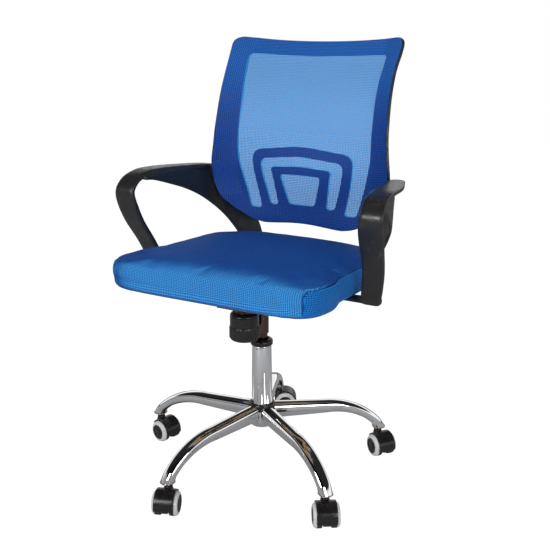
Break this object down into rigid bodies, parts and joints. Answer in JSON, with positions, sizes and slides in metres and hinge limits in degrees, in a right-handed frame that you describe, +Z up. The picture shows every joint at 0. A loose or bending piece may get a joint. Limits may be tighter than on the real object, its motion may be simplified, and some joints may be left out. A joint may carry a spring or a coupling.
{
  "type": "swivel office chair",
  "caption": "Swivel office chair: mesh back on a moulded frame with lumbar arches, padded seat, loop armrests, gas lift, tilt mechanism and a chromed star base on casters.",
  "frame": {"origin": "centre of the chair's box on the floor", "axes": "+Z up; the chair faces -Y; +X is the sitter's left"},
  "size_m": [0.6602, 0.6604, 1.0108],
  "materials": {
    "black_nylon": "satin moulded nylon",
    "black_plastic": "semi-gloss moulded plastic",
    "chrome": "bright chrome plate",
    "steel": "zinc plated",
    "dark_steel": "black stove enamel",
    "blue_seat_fabric": "royal blue spacer-mesh upholstery",
    "blue_back_mesh": "see-through woven blue mesh",
    "plywood": "moulded board, unlacquered"
  },
  "bodies": {
    "base": {"base_hub": "chrome", "base_arm_1": "chrome", "base_arm_2": "chrome", "base_arm_3": "chrome", "base_arm_4": "chrome", "base_arm_5": "chrome", "hub_ring": "black_plastic", "column_tube": "chrome", "column_bush": "black_plastic", "thrust_bearing": "steel"},
    "rod": {"piston_rod": "steel", "rod_clip": "dark_steel"},
    "lift": {"gas_cylinder": "dark_steel", "mechanism_housing": "dark_steel", "tilt_pin": "steel", "tension_spring": "steel"},
    "release": {"release_button": "steel"},
    "tension": {"tension_bolt": "steel"},
    "knob": {"tension_knob": "black_plastic"},
    "lever_pivot": {"lever_bush": "black_plastic"},
    "lever": {"lever_rod": "steel", "lever_paddle": "black_plastic"},
    "seat": {"seat_plate": "dark_steel", "seat_pan": "plywood", "seat_cushion": "blue_seat_fabric", "armrest_left": "black_nylon", "armrest_right": "black_nylon", "foot_screw_front_left": "steel", "foot_screw_front_right": "steel", "foot_screw_rear_left": "steel", "foot_screw_rear_right": "steel", "back_frame": "black_nylon", "back_mesh": "blue_back_mesh", "back_bolt_left": "steel", "back_bolt_right": "steel"},
    "caster_1": {"caster_1_stem": "steel", "caster_1_hood": "black_plastic", "caster_1_axle": "steel"},
    "caster_1_wheel_left": {"caster_1_wheel_left": "black_plastic"},
    "caster_1_wheel_right": {"caster_1_wheel_right": "black_plastic"},
    "caster_2": {"caster_2_stem": "steel", "caster_2_hood": "black_plastic", "caster_2_axle": "steel"},
    "caster_2_wheel_left": {"caster_2_wheel_left": "black_plastic"},
    "caster_2_wheel_right": {"caster_2_wheel_right": "black_plastic"},
    "caster_3": {"caster_3_stem": "steel", "caster_3_hood": "black_plastic", "caster_3_axle": "steel"},
    "caster_3_wheel_left": {"caster_3_wheel_left": "black_plastic"},
    "caster_3_wheel_right": {"caster_3_wheel_right": "black_plastic"},
    "caster_4": {"caster_4_stem": "steel", "caster_4_hood": "black_plastic", "caster_4_axle": "steel"},
    "caster_4_wheel_left": {"caster_4_wheel_left": "black_plastic"},
    "caster_4_wheel_right": {"caster_4_wheel_right": "black_plastic"},
    "caster_5": {"caster_5_stem": "steel", "caster_5_hood": "black_plastic", "caster_5_axle": "steel"},
    "caster_5_wheel_left": {"caster_5_wheel_left": "black_plastic"},
    "caster_5_wheel_right": {"caster_5_wheel_right": "black_plastic"}
  },
  "joints": [
    {"name": "chair_swivel", "type": "hinge", "parent": "base", "child": "rod", "pos_m": [0, 0.00884, 0.09947], "axis": [0, 0, 1], "continuous": true},
    {"name": "height", "type": "slide", "parent": "rod", "child": "lift", "axis": [0, 0, 1], "range_m": [-0.06, 0.015]},
    {"name": "seat_tilt", "type": "hinge", "parent": "lift", "child": "seat", "pos_m": [0, -0.02616, 0.44347], "axis": [-1, 0, 0], "range_deg": [0, 12], "stiffness_Nm_per_rad": 60, "springref_deg": -20.05},
    {"name": "tension_lift", "type": "slide", "parent": "lift", "child": "tension", "axis": [0, 0, 1], "range_m": [0, 0.0078], "deforming": ["tension_spring"]},
    {"name": "knob_turn", "type": "hinge", "parent": "tension", "child": "knob", "pos_m": [0, -0.07116, 0.37947], "axis": [0, 0, 1], "range_deg": [-360, 360]},
    {"name": "lever_lift", "type": "hinge", "parent": "lift", "child": "lever_pivot", "pos_m": [-0.0435, 0.00884, 0.44447], "axis": [0, 1, 0], "range_deg": [0, 4.3], "stiffness_Nm_per_rad": 1, "springref_deg": -34.38},
    {"name": "lever_pull", "type": "slide", "parent": "lever_pivot", "child": "lever", "axis": [-1, 0, 0], "range_m": [0, 0.01]},
    {"name": "release_press", "type": "slide", "parent": "lift", "child": "release", "axis": [0, 0, -1], "range_m": [0, 0.0035]},
    {"name": "caster_1_swivel", "type": "hinge", "parent": "base", "child": "caster_1", "pos_m": [-0.08032, -0.27501, 0.06947], "axis": [0, 0, 1], "continuous": true},
    {"name": "caster_1_roll_left", "type": "hinge", "parent": "caster_1", "child": "caster_1_wheel_left", "pos_m": [-0.07348, -0.2938, 0.02697], "axis": [0.9397, 0.342, 0], "continuous": true},
    {"name": "caster_1_roll_right", "type": "hinge", "parent": "caster_1", "child": "caster_1_wheel_right", "pos_m": [-0.07348, -0.2938, 0.02697], "axis": [0.9397, 0.342, 0], "continuous": true},
    {"name": "caster_2_swivel", "type": "hinge", "parent": "base", "child": "caster_2", "pos_m": [0.24514, -0.15526, 0.06947], "axis": [0, 0, 1], "continuous": true},
    {"name": "caster_2_roll_left", "type": "hinge", "parent": "caster_2", "child": "caster_2_wheel_left", "pos_m": [0.25574, -0.17222, 0.02697], "axis": [0.848, 0.5299, 0], "continuous": true},
    {"name": "caster_2_roll_right", "type": "hinge", "parent": "caster_2", "child": "caster_2_wheel_right", "pos_m": [0.25574, -0.17222, 0.02697], "axis": [0.848, 0.5299, 0], "continuous": true},
    {"name": "caster_3_swivel", "type": "hinge", "parent": "base", "child": "caster_3", "pos_m": [0.23183, 0.19127, 0.06947], "axis": [0, 0, 1], "continuous": true},
    {"name": "caster_3_roll_left", "type": "hinge", "parent": "caster_3", "child": "caster_3_wheel_left", "pos_m": [0.24759, 0.17896, 0.02697], "axis": [0.6157, 0.788, 0], "continuous": true},
    {"name": "caster_3_roll_right", "type": "hinge", "parent": "caster_3", "child": "caster_3_wheel_right", "pos_m": [0.24759, 0.17896, 0.02697], "axis": [0.6157, 0.788, 0], "continuous": true},
    {"name": "caster_4_swivel", "type": "hinge", "parent": "base", "child": "caster_4", "pos_m": [-0.10186, 0.2857, 0.06947], "axis": [0, 0, 1], "continuous": true},
    {"name": "caster_4_roll_left", "type": "hinge", "parent": "caster_4", "child": "caster_4_wheel_left", "pos_m": [-0.0842, 0.29509, 0.02697], "axis": [-0.4695, 0.8829, 0], "continuous": true},
    {"name": "caster_4_roll_right", "type": "hinge", "parent": "caster_4", "child": "caster_4_wheel_right", "pos_m": [-0.0842, 0.29509, 0.02697], "axis": [-0.4695, 0.8829, 0], "continuous": true},
    {"name": "caster_5_swivel", "type": "hinge", "parent": "base", "child": "caster_5", "pos_m": [-0.29478, -0.00248, 0.06947], "axis": [0, 0, 1], "continuous": true},
    {"name": "caster_5_roll_left", "type": "hinge", "parent": "caster_5", "child": "caster_5_wheel_left", "pos_m": [-0.27556, -0.00799, 0.02697], "axis": [0.2756, 0.9613, 0], "continuous": true},
    {"name": "caster_5_roll_right", "type": "hinge", "parent": "caster_5", "child": "caster_5_wheel_right", "pos_m": [-0.27556, -0.00799, 0.02697], "axis": [0.2756, 0.9613, 0], "continuous": true}
  ],
  "couplings": [
    {"joint": "tension_lift", "follows": "seat_tilt", "m_per_rad": 0.0355},
    {"joint": "release_press", "follows": "lever_lift", "m_per_rad": 0.0435}
  ]
}
